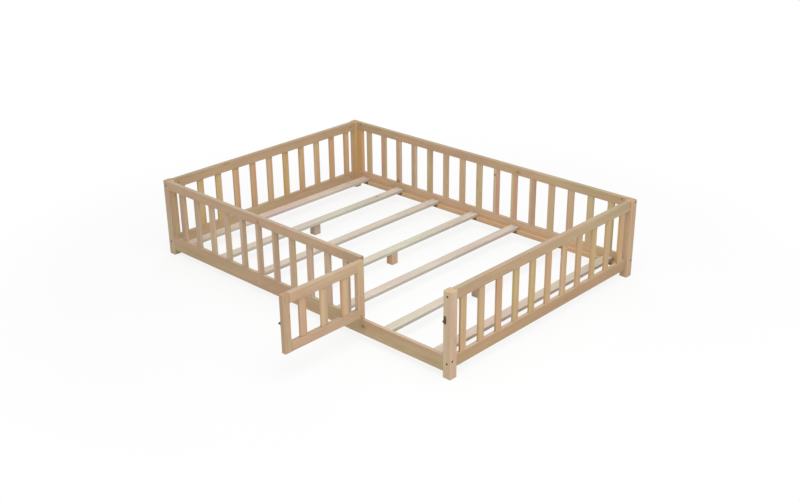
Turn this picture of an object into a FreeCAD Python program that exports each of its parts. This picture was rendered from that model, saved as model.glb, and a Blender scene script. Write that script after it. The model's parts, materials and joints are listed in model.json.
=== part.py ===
import FreeCAD, Part
import math
import os
import re

import Sketcher

# Low floor bed for a toddler: four posts, four railed sides, a slatted deck on ledges and three
# short centre legs, and a small railed gate on two butt hinges with a sliding bolt.
#
# Millimetres. The origin is the centre of the posts' footprint, on the floor. +X runs along the
# bed from head to foot, +Y from the gate side to the back, +Z up. The gate is built standing open
# at a right angle to its side, pointing to -Y.
#
# Every side is built in a frame of its own, seen from outside: local x runs along the side from
# its left post, local y goes inwards from the posts' outer faces, z is up. The gate's frame has
# its origin on the hinge pins' axis: local x runs along the gate, local y towards its inner face.

DIMENSIONS = (
    ("bed_length", 2000, "over the posts"),
    ("bed_width", 1422, "over the posts"),
    ("bed_height", 420, "floor to the top of posts and top rails"),
    ("post_size", 43, "square section of a post"),
    ("post_edge", 3, "rounding of a post's upright edges"),
    ("post_end", 2, "chamfer round a post's ends"),
    ("long_top_height", 47, "top rails of the long sides"),
    ("long_top_thick", 22, ""),
    ("long_top_setback", 0.5, "outer face behind the posts' outer face"),
    ("long_bottom_height", 79, "bottom rails of the long sides"),
    ("long_bottom_thick", 18, ""),
    ("long_bottom_setback", 4, ""),
    ("long_bottom_base", 29, "underside above the floor"),
    ("short_top_height", 52, "top rails of head and foot"),
    ("short_top_thick", 24, ""),
    ("short_top_setback", 8.5, ""),
    ("short_bottom_height", 57, "bottom rails of head and foot"),
    ("short_bottom_thick", 20, ""),
    ("short_bottom_setback", 10.5, ""),
    ("short_bottom_base", 45, ""),
    ("rail_edge", 2.5, "rounding of the rails' long edges"),
    ("bar_width", 38.5, "balusters"),
    ("bar_thick", 12, ""),
    ("bar_edge", 2, ""),
    ("long_bar_line", 14.5, "balusters' middle behind the posts' outer face"),
    ("short_bar_line", 18.5, ""),
    ("mortise_depth", 10, "balusters sunk into each rail"),
    ("back_pitch", 123.3, "baluster to baluster in the back"),
    ("end_pitch", 122.3, "in head and foot"),
    ("fence_pitch", 122.4, "in the fence, the fixed part of the gate side"),
    ("fence_first", 55, "fence's end stile to its first baluster's centre"),
    ("bar_room", 20, "least clear space beside the last balusters of a row"),
    ("door_width", 490, "clear opening between fence and post"),
    ("stile_width", 41, "uprights that close a long side's panel"),
    ("stile_thick", 18, ""),
    ("stile_setback", 4, ""),
    ("hinge_stile_width", 40, "upright that carries the gate"),
    ("hinge_stile_thick", 22, ""),
    ("ledge_depth", 20, "ledges that carry the slats"),
    ("ledge_height", 20, ""),
    ("ledge_edge", 1, ""),
    ("ledge_end_gap", 3, "ledge end to post"),
    ("slat_width", 52.5, "slats"),
    ("slat_thick", 17.5, ""),
    ("slat_edge", 2, ""),
    ("slat_top", 80, "upper face above the floor"),
    ("slat_end_gap", 2, "slat end to rail"),
    ("slat_margin", 77, "post to the centre of an evenly spaced end slat"),
    ("slat1_shift", -4, "slats off their even spacing along the bed, head to foot"),
    ("slat2_shift", -18, ""),
    ("slat3_shift", -23, ""),
    ("slat4_shift", -21.5, ""),
    ("slat5_shift", -28, ""),
    ("slat6_shift", -18, ""),
    ("slat7_shift", -4.5, ""),
    ("slat2_turn", -0.4, "slats that lie a little askew, in degrees"),
    ("slat6_turn", 0.7, ""),
    ("leg_size", 42, "square centre legs"),
    ("leg_edge", 2, ""),
    ("leg1_shift", -7, "leg centres along the bed off those of slats 2, 4 and 6"),
    ("leg2_shift", 5.5, ""),
    ("leg3_shift", -3.5, ""),
    ("bolt_shank", 6, "rail bolts"),
    ("bolt_hole", 6.6, ""),
    ("bolt_overrun", 0.5, "bolt's tip past the barrel nut"),
    ("bolt_head", 10, ""),
    ("bolt_head_height", 6, ""),
    ("bolt_socket", 5, "hexagon, across flats"),
    ("bolt_socket_depth", 3, ""),
    ("bolt_recess", 0.5, "head below the post's face"),
    ("counterbore", 11, ""),
    ("bolt_stagger", 15, "long-side bolts above the short-side bolts they cross"),
    ("nut_size", 10, "barrel nuts"),
    ("nut_length", 14, ""),
    ("nut_inset", 30, "from the post's inner face"),
    ("nut_slot", 1.2, "screwdriver slot"),
    ("drill_spare", 4, "bolt hole past the bolt's tip"),
    ("fit_gap", 0.05, "round a pin, nut or dowel in its hole"),
    ("dowel_size", 8, "wooden dowels"),
    ("dowel_length", 30, ""),
    ("dowel_drop", 16, "below the bolt beside it"),
    ("stile_dowel_length", 24, ""),
    ("gate_dowel_pitch", 22, ""),
    ("screw_shank", 4, "countersunk wood screws in slats, ledges and legs"),
    ("screw_head", 8, ""),
    ("slat_screw_length", 30, ""),
    ("leg_screw_length", 50, ""),
    ("ledge_screws", 6, "in each ledge"),
    ("ledge_screw_length", 32, ""),
    ("ledge_screw_end", 120, "end screws from the ledge's ends"),
    ("gate_gap", 4, "fence end to gate edge, gate closed"),
    ("latch_gap", 8, "gate edge to post, gate closed"),
    ("gate_base", 138, "underside above the floor"),
    ("gate_drop", 5, "top below the fence's top"),
    ("gate_thick", 24, ""),
    ("gate_hinge_stile", 40, ""),
    ("gate_latch_stile", 38.5, ""),
    ("gate_top_height", 48, ""),
    ("gate_bottom_height", 43, ""),
    ("gate_pitch", 123.5, "baluster to baluster"),
    ("knuckle", 3, "hinge knuckle radius"),
    ("pin_size", 3, "hinge pins"),
    ("pin_cap", 5, ""),
    ("pin_cap_height", 1.2, ""),
    ("leaf_thick", 1.5, ""),
    ("leaf_width", 17, "from the pin's axis"),
    ("leaf_height", 42, ""),
    ("leaf_start", 3.4, "leaf edge that clears the other leaf's knuckles"),
    ("knuckle_gap", 0.3, "between knuckles, along the pin"),
    ("hinge_rise", 47, "lower hinge's centre above the gate's underside"),
    ("hinge_drop", 80, "upper hinge's centre below the gate's top"),
    ("small_shank", 3, "small countersunk screws of hinges, bolt and keeper"),
    ("small_head", 5.6, ""),
    ("small_length", 16, ""),
    ("hinge_screw_reach", 10.5, "from the pin's axis"),
    ("hinge_screw_rise", 13, "above and below the hinge's centre"),
    ("latch_drop", 138, "bolt axis below the gate's top"),
    ("latch_stand", 5.8, "bolt axis proud of the gate"),
    ("rod_size", 6, "sliding bolt"),
    ("rod_poke", 4, "past the gate's edge, drawn back"),
    ("rod_tail", 1.5, "kept in the inner guide, shot"),
    ("rod_travel", 16, ""),
    ("rod_tip", 0.8, "chamfer of the bolt's ends"),
    ("rod_spare", 0.3, "knob to guide at each end of the travel"),
    ("knob_size", 6.4, ""),
    ("knob_height", 9, "above the bolt's axis"),
    ("guide_size", 10.6, "bolt guides and keeper loop, outer diameter"),
    ("guide_length", 4.5, ""),
    ("housing_edge", 1.5, "housing plate to gate edge"),
    ("plate_thick", 1.5, "plates of bolt and keeper"),
    ("plate_height", 25, ""),
    ("plate_screw_rise", 8.7, ""),
    ("plate_screw_inset", 4.5, ""),
    ("keeper_inset", 33, "keeper centre from the bed's end"),
    ("keeper_width", 14, ""),
    ("keeper_height", 36, ""),
    ("keeper_raise", 5, "middle of the keeper's plate above the bolt"),
    ("keeper_loop", 10, "length of the loop along the bolt"),
    ("keeper_eye", 7.2, "opening for the bolt"),
    ("keeper_screw_rise", 13.5, ""),
)
NAMES = {name for name, _, _ in DIMENSIONS}

HEX_CORNER = 1.1547  # across corners over across flats
BLUNT = 0.4  # radius left at a screw's point

doc = FreeCAD.newDocument("floor_bed")
sheet = doc.addObject("Spreadsheet::Sheet", "Dims")
for row, (name, size, note) in enumerate(DIMENSIONS, 1):
    sheet.set(f"A{row}", name)
    sheet.set(f"B{row}", str(size))
    sheet.set(f"C{row}", note)
    sheet.setAlias(f"B{row}", name)
doc.recompute()

nodes = []
cuts = []


# ---------------------------------------------------------------- formulas and frames


def formula(text):
    """Put the sheet's name before every dimension in a formula."""
    return re.sub(r"[a-z_][a-z0-9_]*", lambda m: f"Dims.{m[0]}" if m[0] in NAMES else m[0], str(text))


def value(text):
    return float(sheet.evalExpression(formula(text)))


def bind(thing, path, text):
    thing.setExpression(path, formula(text))


FENCE_LENGTH = "(bed_length - post_size - door_width)"
PIN_X = f"(-bed_length / 2 + {FENCE_LENGTH} + gate_gap / 2)"
PIN_Y = "(-bed_width / 2 + long_top_setback - knuckle)"
FRAMES = {  # turn about Z, and where the frame's origin is
    "bed": (0, "0", "0"),
    "front": (0, "(-bed_length / 2)", "(-bed_width / 2)"),
    "foot": (90, "(bed_length / 2)", "(-bed_width / 2)"),
    "back": (180, "(bed_length / 2)", "(bed_width / 2)"),
    "head": (270, "(-bed_length / 2)", "(bed_width / 2)"),
    "gate": (270, PIN_X, PIN_Y),
}


def spot(frame, x, y):
    """Formulas for the place in the bed of a point in a side's frame."""
    turn, left, front = FRAMES[frame]
    return {
        0: (f"{left} + ({x})", f"{front} + ({y})"),
        90: (f"{left} - ({y})", f"{front} + ({x})"),
        180: (f"{left} - ({x})", f"{front} - ({y})"),
        270: (f"{left} + ({y})", f"{front} - ({x})"),
    }[turn]


def frame_rotation(frame):
    return FreeCAD.Rotation(FreeCAD.Vector(0, 0, 1), FRAMES[frame][0])


def place(thing, frame, x, y, z):
    """Set a piece's origin at a point of a side's frame, turned with the frame."""
    thing.Placement.Rotation = frame_rotation(frame)
    across, along = spot(frame, x, y)
    bind(thing, "Placement.Base.x", across)
    bind(thing, "Placement.Base.y", along)
    bind(thing, "Placement.Base.z", z)


# ---------------------------------------------------------------- sketches and features


def new_body(label):
    body = doc.addObject("PartDesign::Body", label)
    body.Label = label
    nodes.append(body)
    return body


def plane_sketch(body, name, plane, level="0"):
    """A sketch on a plane of the body, moved along that plane's global axis to a level."""
    sketch = body.newObject("Sketcher::SketchObject", name)
    base = next(f for f in body.Origin.OriginFeatures if f.Role == f"{plane}_Plane")
    sketch.AttachmentSupport = [(base, "")]
    sketch.MapMode = "FlatFace"
    sign = "-" if plane == "XZ" else ""
    if level != "0":
        bind(sketch, "AttachmentOffset.Base.z", f"{sign}({level})")
    return sketch


def dimension(sketch, kind, *args):
    """A constraint whose size, the last argument, is a formula."""
    index = sketch.addConstraint(Sketcher.Constraint(kind, *args[:-1], value(args[-1])))
    sketch.renameConstraint(index, f"size{index}")
    bind(sketch, f"Constraints.size{index}", args[-1])


def rounded_rectangle(sketch, width, height, radius, left="0", low="0"):
    w, h, r = value(width), value(height), value(radius)
    x, y = value(left), value(low)
    normal = FreeCAD.Vector(0, 0, 1)
    corners = ((x + w, y), (x + w, y + h), (x, y + h), (x, y))
    inward = ((-r, r), (-r, -r), (r, -r), (r, r))
    starts = ((x + r, y), (x + w, y + r), (x + w - r, y + h), (x, y + h - r))
    ends = ((x + w - r, y), (x + w, y + h - r), (x + r, y + h), (x, y + r))
    quarter = math.pi / 2
    sides = []
    arcs = []
    for k in range(4):
        line = Part.LineSegment(FreeCAD.Vector(*starts[k], 0), FreeCAD.Vector(*ends[k], 0))
        sides.append(sketch.addGeometry(line))
    for k in range(4):
        centre = FreeCAD.Vector(corners[k][0] + inward[k][0], corners[k][1] + inward[k][1], 0)
        arc = Part.ArcOfCircle(Part.Circle(centre, normal, r), (k - 1) * quarter, k * quarter)
        arcs.append(sketch.addGeometry(arc))
    for k in range(4):
        sketch.addConstraint(Sketcher.Constraint("Horizontal" if k % 2 == 0 else "Vertical", sides[k]))
        sketch.addConstraint(Sketcher.Constraint("Tangent", sides[k], 2, arcs[k], 1))
        sketch.addConstraint(Sketcher.Constraint("Tangent", arcs[k], 2, sides[(k + 1) % 4], 1))
    for k in range(1, 4):
        sketch.addConstraint(Sketcher.Constraint("Equal", arcs[0], arcs[k]))
    dimension(sketch, "Radius", arcs[0], radius)
    dimension(sketch, "DistanceX", sides[3], 1, sides[1], 1, width)
    dimension(sketch, "DistanceY", sides[0], 1, sides[2], 1, height)
    if left == "0":
        sketch.addConstraint(Sketcher.Constraint("PointOnObject", sides[3], 1, -2))
    else:
        dimension(sketch, "DistanceX", -1, 1, sides[3], 1, left)
    if low == "0":
        sketch.addConstraint(Sketcher.Constraint("PointOnObject", sides[0], 1, -1))
    else:
        dimension(sketch, "DistanceY", -1, 1, sides[0], 1, low)


def pad(body, sketch, length):
    feature = body.newObject("PartDesign::Pad", "Pad")
    feature.Profile = sketch
    bind(feature, "Length", length)
    sketch.Visibility = False


def cut(body, name, sketch, depth, along_normal):
    feature = body.newObject("PartDesign::Pocket", name)
    feature.Profile = sketch
    feature.Reversed = along_normal
    bind(feature, "Length", depth)
    cuts.append(feature)
    return feature


def drill(body, name, plane, level, centres, size, depth, along_normal):
    """Round holes of one size from one plane of the body."""
    sketch = plane_sketch(body, f"{name}Centres", plane, level)
    for u, v in centres:
        centre = FreeCAD.Vector(value(u), value(v), 0)
        circle = Part.Circle(centre, FreeCAD.Vector(0, 0, 1), value(size) / 2)
        index = sketch.addGeometry(circle)
        dimension(sketch, "DistanceX", -1, 1, index, 3, u)
        dimension(sketch, "DistanceY", -1, 1, index, 3, v)
        dimension(sketch, "Diameter", index, size)
    cut(body, name, sketch, depth, along_normal)


def repeat(body, name, feature, sketch, count, pitch):
    """A row of a feature along the body's local x."""
    row = body.newObject("PartDesign::LinearPattern", name)
    row.Originals = [feature]
    row.Direction = (sketch, ["H_Axis"])
    row.Mode = "Spacing"
    bind(row, "Offset", pitch)
    bind(row, "Occurrences", count)
    body.Tip = row


# ---------------------------------------------------------------- wooden pieces


def rail(label, frame, at, length, thick, height, edge="rail_edge"):
    body = new_body(label)
    sketch = plane_sketch(body, "Profile", "YZ")
    rounded_rectangle(sketch, thick, height, edge)
    pad(body, sketch, length)
    place(body, frame, *at)
    return body


def upright(label, frame, at, width, thick, height, edge="rail_edge"):
    body = new_body(label)
    sketch = plane_sketch(body, "Section", "XY")
    rounded_rectangle(sketch, width, thick, edge)
    pad(body, sketch, height)
    place(body, frame, *at)
    return body


def mortises(body, level, first, low, count, pitch, along_normal):
    """A row of pockets that take the balusters' ends; first is the first centre."""
    sketch = plane_sketch(body, "MortiseOutline", "XY", level)
    rounded_rectangle(sketch, "bar_width", "bar_thick", "bar_edge", f"{first} - bar_width / 2", low)
    pocket = cut(body, "Mortise", sketch, "mortise_depth", along_normal)
    repeat(body, "Mortises", pocket, sketch, count, pitch)


def balusters(label, frame, first, setback, low, high, count, pitch):
    """A row of separate upright bars from low to high, sunk into the rails at both ends."""
    body = new_body(label)
    body.AllowCompound = True
    sketch = plane_sketch(body, "Section", "XY")
    rounded_rectangle(sketch, "bar_width", "bar_thick", "bar_edge")
    pad(body, sketch, f"({high}) - ({low}) + 2 * mortise_depth")
    repeat(body, "Row", body.Tip, sketch, count, pitch)
    place(body, frame, f"{first} - bar_width / 2", setback, f"{low} - mortise_depth")


BOLT_LEVEL = {
    "short_top": "(bed_height - short_top_height / 2)",
    "short_bottom": "(short_bottom_base + short_bottom_height / 2)",
    "long_top": "(bed_height - short_top_height / 2 + bolt_stagger)",
    "long_bottom": "(short_bottom_base + short_bottom_height / 2 + bolt_stagger)",
}
RAIL_BASE = {
    "short_top": "(bed_height - short_top_height)",
    "short_bottom": "short_bottom_base",
    "long_top": "(bed_height - long_top_height)",
    "long_bottom": "long_bottom_base",
}
BOLT_TIP = "(nut_inset + nut_size / 2 + bolt_overrun)"
BOLT_LENGTH = f"({BOLT_TIP} + post_size - bolt_recess - bolt_head_height)"
bolt_spots = []
nut_spots = []
dowel_spots = []


def rail_ends(body, kind, frame, length, both=True):
    """Holes for bolt, barrel nut and dowel in a rail's ends, and the fasteners that fill them."""
    level = BOLT_LEVEL[kind]
    middle = f"({kind}_thick / 2)"
    centre = f"({kind}_setback + {kind}_thick / 2)"
    rise = f"{level} - {RAIL_BASE[kind]}"
    hole = "dowel_size + 2 * fit_gap"
    reach = f"{BOLT_TIP} + drill_spare"
    drill(body, "BoltHole", "YZ", "0", [(middle, rise)], "bolt_hole", reach, True)
    drill(body, "DowelHole", "YZ", "0", [(middle, f"{rise} - dowel_drop")], hole, "dowel_length / 2", True)
    nuts = [("nut_inset", rise)]
    far = f"({length} + 2 * post_size)"
    if both:
        nuts.append((f"{length} - nut_inset", rise))
        drill(body, "FarBoltHole", "YZ", length, [(middle, rise)], "bolt_hole", reach, False)
        spots = [(middle, f"{rise} - dowel_drop")]
        drill(body, "FarDowelHole", "YZ", length, spots, hole, "dowel_length / 2", False)
        bolt_spots.append((frame, (f"{far} - bolt_recess", centre, level), (-1, 0, 0)))
        inner = f"{far} - post_size + dowel_length / 2"
        dowel_spots.append((frame, (inner, centre, f"{level} - dowel_drop"), (-1, 0, 0)))
        inner = f"{far} - post_size - nut_inset"
        nut_spots.append((frame, (inner, f"{centre} + nut_length / 2", level), (0, -1, 0)))
    depth = f"{kind}_thick / 2 + nut_length / 2"
    drill(body, "NutHoles", "XZ", f"{kind}_thick", nuts, "nut_size + 2 * fit_gap", depth, True)
    bolt_spots.append((frame, ("bolt_recess", centre, level), (1, 0, 0)))
    near = ("post_size - dowel_length / 2", centre, f"{level} - dowel_drop")
    dowel_spots.append((frame, near, (1, 0, 0)))
    nut_spots.append((frame, ("post_size + nut_inset", f"{centre} + nut_length / 2", level), (0, -1, 0)))


def side(frame, upper, kind, span, bars, top_length=None):
    """Two rails and the balusters between them; kind is long or short, and upper names what
    stands above the bottom rail. bars is the first centre, the count and the pitch."""
    first, count, pitch = bars
    length = f"({span} - 2 * post_size)"
    top_base, low_base = RAIL_BASE[f"{kind}_top"], RAIL_BASE[f"{kind}_bottom"]
    low_top = f"({low_base} + {kind}_bottom_height)"
    at = ("post_size", f"{kind}_top_setback", top_base)
    sizes = (f"{kind}_top_thick", f"{kind}_top_height")
    top = rail(f"{upper}_top_rail", frame, at, top_length or length, *sizes)
    at = ("post_size", f"{kind}_bottom_setback", low_base)
    sizes = (f"{kind}_bottom_thick", f"{kind}_bottom_height")
    low = rail(f"{frame}_bottom_rail", frame, at, length, *sizes)
    start = f"{first} - post_size"
    face = f"({kind}_bar_line - bar_thick / 2)"
    mortises(top, "0", start, f"{face} - {kind}_top_setback", count, pitch, True)
    level = f"{kind}_bottom_height"
    mortises(low, level, start, f"{face} - {kind}_bottom_setback", count, pitch, False)
    rail_ends(top, f"{kind}_top", frame, length, both=top_length is None)
    rail_ends(low, f"{kind}_bottom", frame, length)
    balusters(f"{upper}_balusters", frame, first, face, low_top, top_base, count, pitch)
    return top, low


def post(label, frame, along_x, along_y):
    """A corner post; along_x and along_y name the rails that run off it each way."""
    body = upright(label, frame, ("0", "0", "0"), "post_size", "post_size", "bed_height", "post_edge")
    doc.recompute()
    ends = (0.0, value("bed_height"))
    blank = body.Tip
    rims = [
        f"Edge{number}"
        for number, edge in enumerate(blank.Shape.Edges, 1)
        if all(abs(edge.Vertexes[0].Z - v.Z) < 1e-6 for v in edge.Vertexes)
        and any(abs(edge.Vertexes[0].Z - end) < 1e-6 for end in ends)
    ]
    chamfer = body.newObject("PartDesign::Chamfer", "Ends")
    chamfer.Base = (blank, rims)
    bind(chamfer, "Size", "post_end")
    body.Tip = chamfer
    ways = (("YZ", along_x, True), ("XZ", along_y, False))
    for plane, kinds, along_normal in ways:
        bolts = [(f"{kind}_setback + {kind}_thick / 2", BOLT_LEVEL[kind]) for kind in kinds]
        dowels = [(u, f"{v} - dowel_drop") for u, v in bolts]
        drill(body, f"Bolt{plane}", plane, "0", bolts, "bolt_hole", "post_size", along_normal)
        seat = "bolt_head_height + bolt_recess"
        drill(body, f"Seat{plane}", plane, "0", bolts, "counterbore", seat, along_normal)
        hole = "dowel_size + 2 * fit_gap"
        depth = "dowel_length / 2"
        drill(body, f"Dowel{plane}", plane, "post_size", dowels, hole, depth, not along_normal)
    return body


LONG = ("long_top", "long_bottom")
SHORT = ("short_top", "short_bottom")
post("post_front_left", "front", LONG, SHORT)
gate_post = post("post_front_right", "foot", SHORT, ("long_bottom",))
post("post_back_right", "back", LONG, SHORT)
post("post_back_left", "head", SHORT, LONG)


def bars_within(room, pitch):
    """How many balusters at that pitch go into a clear space."""
    return f"(floor(({room} - bar_width - 2 * bar_room) / {pitch}) + 1)"


def centred_row(span, room, pitch):
    count = bars_within(room, pitch)
    return f"(({span} - ({count} - 1) * {pitch}) / 2)", count, pitch


FENCE_FIRST = "(post_size + stile_width + fence_first)"
FENCE_ROOM = f"({FENCE_LENGTH} - hinge_stile_width - {FENCE_FIRST} + bar_width / 2 + bar_room)"
end_row = centred_row("bed_width", "(bed_width - 2 * post_size)", "end_pitch")
back_row = centred_row("bed_length", "(bed_length - 2 * (post_size + stile_width))", "back_pitch")
fence_row = (FENCE_FIRST, bars_within(FENCE_ROOM, "fence_pitch"), "fence_pitch")
side("head", "head", "short", "bed_width", end_row)
side("foot", "foot", "short", "bed_width", end_row)
back_top, back_low = side("back", "back", "long", "bed_length", back_row)
fence_top, front_low = side("front", "fence", "long", "bed_length", fence_row, f"{FENCE_LENGTH} - post_size")

# ---------------------------------------------------------------- end stiles of the long sides

LOW_TOP = "(long_bottom_base + long_bottom_height)"
TOP_BASE = "(bed_height - long_top_height)"
STILE_HEIGHT = f"({TOP_BASE} - {LOW_TOP})"
STILE_DOWEL_LINE = "(long_bottom_setback + long_bottom_thick / 2)"
stile_dowel_spots = []


def stile(label, frame, left, width, thick, setback, rails):
    """An upright between the rails of a long side, on a hidden dowel at each end."""
    body = upright(label, frame, (left, setback, LOW_TOP), width, thick, STILE_HEIGHT)
    hole = "dowel_size + 2 * fit_gap"
    half = "stile_dowel_length / 2"
    centre = [(f"{width} / 2", f"{STILE_DOWEL_LINE} - {setback}")]
    drill(body, "FootDowel", "XY", "0", centre, hole, half, True)
    drill(body, "HeadDowel", "XY", STILE_HEIGHT, centre, hole, half, False)
    place_x = f"{left} + {width} / 2"
    for rise in (LOW_TOP, TOP_BASE):
        stile_dowel_spots.append((frame, (place_x, STILE_DOWEL_LINE, f"{rise} - {half}"), (0, 0, 1)))
    top, low = rails
    top_spots = [(f"{place_x} - post_size", f"{STILE_DOWEL_LINE} - long_top_setback")]
    low_spots = [(f"{place_x} - post_size", f"{STILE_DOWEL_LINE} - long_bottom_setback")]
    drill(top, f"Stile{label}", "XY", "0", top_spots, hole, half, True)
    drill(low, f"Stile{label}", "XY", "long_bottom_height", low_spots, hole, half, False)
    return body


FAR_STILE = "bed_length - post_size - stile_width"
plain = ("stile_width", "stile_thick", "stile_setback")
stile("back_right_stile", "back", "post_size", *plain, (back_top, back_low))
stile("back_left_stile", "back", FAR_STILE, *plain, (back_top, back_low))
stile("fence_left_stile", "front", "post_size", *plain, (fence_top, front_low))
hinge_sizes = ("hinge_stile_width", "hinge_stile_thick", "long_top_setback")
hinge_stile = stile(
    "fence_hinge_stile", "front", f"{FENCE_LENGTH} - hinge_stile_width", *hinge_sizes, (fence_top, front_low)
)

# ---------------------------------------------------------------- slatted deck

SLAT_BASE = "(slat_top - slat_thick)"
RAIL_INNER = "(long_bottom_setback + long_bottom_thick)"
SLAT_LENGTH = f"(bed_width - 2 * {RAIL_INNER} - 2 * slat_end_gap)"
LEDGE_LENGTH = "(bed_length - 2 * post_size - 2 * ledge_end_gap)"
SCREW_LINE = f"(bed_width / 2 - {RAIL_INNER} - ledge_depth / 2)"
SLAT_TURNS = {2: "slat2_turn", 6: "slat6_turn"}
SLATS = range(1, 8)
SLAT_PITCH = f"((bed_length - 2 * post_size - 2 * slat_margin) / {len(SLATS) - 1})"
MIDDLE_SLAT = 4
LEGS = {1: 2, 2: 4, 3: 6}  # leg number: the slat above it
slat_screw_spots = []
leg_screw_spots = []
ledge_screw_spots = []


def slat_place(number):
    return f"({number - MIDDLE_SLAT} * {SLAT_PITCH} + slat{number}_shift)"


def leg_place(number):
    return f"({slat_place(LEGS[number])} + leg{number}_shift)"


def screw_x(number, reach):
    """Where a slat's centre line is along the bed, at a distance reach from the bed's middle."""
    turn = SLAT_TURNS.get(number)
    swing = f" - tan({turn} * 1 deg) * {reach}" if turn else ""
    return f"{slat_place(number)}{swing}"


def slat(number):
    """A slat across the bed, its local x along its own length, screwed down at both ends."""
    section = ("slat_width", "slat_thick", "slat_edge")
    body = rail(f"slat_{number}", "bed", ("0", "0", "0"), SLAT_LENGTH, *section)
    turn = SLAT_TURNS.get(number, "0")
    body.Placement.Rotation = FreeCAD.Rotation(FreeCAD.Vector(0, 0, 1), 90 + value(turn))
    angle = f"(90 + {turn}) * 1 deg"
    bind(body, "Placement.Rotation.Angle", angle)
    half = f"({SLAT_LENGTH} / 2)"
    centre = slat_place(number)
    bind(body, "Placement.Base.x", f"{centre} + sin({angle}) * slat_width / 2 - cos({angle}) * {half}")
    bind(body, "Placement.Base.y", f"-cos({angle}) * slat_width / 2 - sin({angle}) * {half}")
    bind(body, "Placement.Base.z", SLAT_BASE)
    line = f"{SCREW_LINE} / cos({turn} * 1 deg)"
    holes = [(f"{half} - {line}", "slat_width / 2"), (f"{half} + {line}", "slat_width / 2")]
    for leg, carried in LEGS.items():
        if carried == number:
            side_step = f"leg{leg}_shift * cos({turn} * 1 deg)"
            holes.append((f"{half} - leg{leg}_shift * sin({turn} * 1 deg)", f"slat_width / 2 - {side_step}"))
            leg_screw_spots.append(("bed", (leg_place(leg), "0", "slat_top"), (0, 0, -1)))
    countersink(body, "XY", "slat_thick", holes, "screw", "slat_thick", False)
    for reach in (SCREW_LINE, f"-{SCREW_LINE}"):
        at = (screw_x(number, reach), reach, "slat_top")
        slat_screw_spots.append(("bed", at, (0, 0, -1)))


def countersink(body, plane, level, centres, size, depth, along_normal):
    """Screw holes with a flat-bottomed seat of the head's size, from one plane."""
    drill(body, "Pilot", plane, level, centres, f"{size}_shank + 2 * fit_gap", depth, along_normal)
    seat = f"({size}_head - {size}_shank) / 2"
    drill(body, "HeadSeat", plane, level, centres, f"{size}_head + 2 * fit_gap", seat, along_normal)


for number in SLATS:
    slat(number)


def ledge(label, frame, sign):
    """A strip on a bottom rail's inner face; sign turns bed x into the side's own x."""
    at = ("post_size + ledge_end_gap", RAIL_INNER, f"{SLAT_BASE} - ledge_height")
    body = rail(label, frame, at, LEDGE_LENGTH, "ledge_depth", "ledge_height", "ledge_edge")
    reach = SCREW_LINE if frame == "back" else f"-{SCREW_LINE}"
    pilots = [(f"{LEDGE_LENGTH} / 2 {sign} ({screw_x(n, reach)})", "ledge_depth / 2") for n in SLATS]
    depth = "slat_screw_length - slat_thick"
    drill(body, "SlatPilots", "XY", "ledge_height", pilots, "screw_shank + 2 * fit_gap", depth, False)
    pitch = f"(({LEDGE_LENGTH} - 2 * ledge_screw_end) / (ledge_screws - 1))"
    count = int(value("ledge_screws"))
    spots = [(f"ledge_screw_end + {k} * {pitch}", "ledge_height / 2") for k in range(count)]
    countersink(body, "XZ", "ledge_depth", spots, "screw", "ledge_depth", True)
    depth, level = f"{RAIL_INNER} + ledge_depth", f"{SLAT_BASE} - ledge_height / 2"
    for u, _ in spots:
        at = (f"post_size + ledge_end_gap + {u}", depth, level)
        ledge_screw_spots.append((frame, at, (0, -1, 0)))
    return spots


def ledge_pilots(body, spots):
    level = f"{SLAT_BASE} - ledge_height / 2 - long_bottom_base"
    centres = [(f"ledge_end_gap + {u}", level) for u, _ in spots]
    depth = "ledge_screw_length - ledge_depth"
    drill(body, "LedgePilots", "XZ", "long_bottom_thick", centres, "screw_shank + 2 * fit_gap", depth, True)


ledge_pilots(front_low, ledge("front_slat_ledge", "front", "+"))
ledge_pilots(back_low, ledge("back_slat_ledge", "back", "-"))

for number in LEGS:
    corner = (f"{leg_place(number)} - leg_size / 2", "-leg_size / 2", "0")
    leg = upright(f"centre_leg_{number}", "bed", corner, "leg_size", "leg_size", SLAT_BASE, "leg_edge")
    middle = [("leg_size / 2", "leg_size / 2")]
    depth = "leg_screw_length - slat_thick"
    drill(leg, "Pilot", "XY", SLAT_BASE, middle, "screw_shank + 2 * fit_gap", depth, False)

# ---------------------------------------------------------------- gate

GATE_LENGTH = "(door_width - gate_gap - latch_gap)"
GATE_TOP = "(bed_height - gate_drop)"
GATE_LEFT = "(gate_gap / 2)"
GATE_INNER = f"({GATE_LENGTH} - gate_hinge_stile - gate_latch_stile)"
LATCH_LEFT = f"({GATE_LEFT} + {GATE_LENGTH} - gate_latch_stile)"
GATE_TOP_BASE = f"({GATE_TOP} - gate_top_height)"
gate_middle = f"(2 * ({GATE_LEFT} + gate_hinge_stile) + {GATE_INNER})"
gate_bar_first, gate_bars, _ = centred_row(gate_middle, GATE_INNER, "gate_pitch")
gate_dowel_spots = []


def gate_stile(label, left):
    height = f"{GATE_TOP} - gate_base"
    return upright(label, "gate", (left, "knuckle", "gate_base"), label, "gate_thick", height)


gate_hinge = gate_stile("gate_hinge_stile", GATE_LEFT)
gate_latch = gate_stile("gate_latch_stile", LATCH_LEFT)


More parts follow.
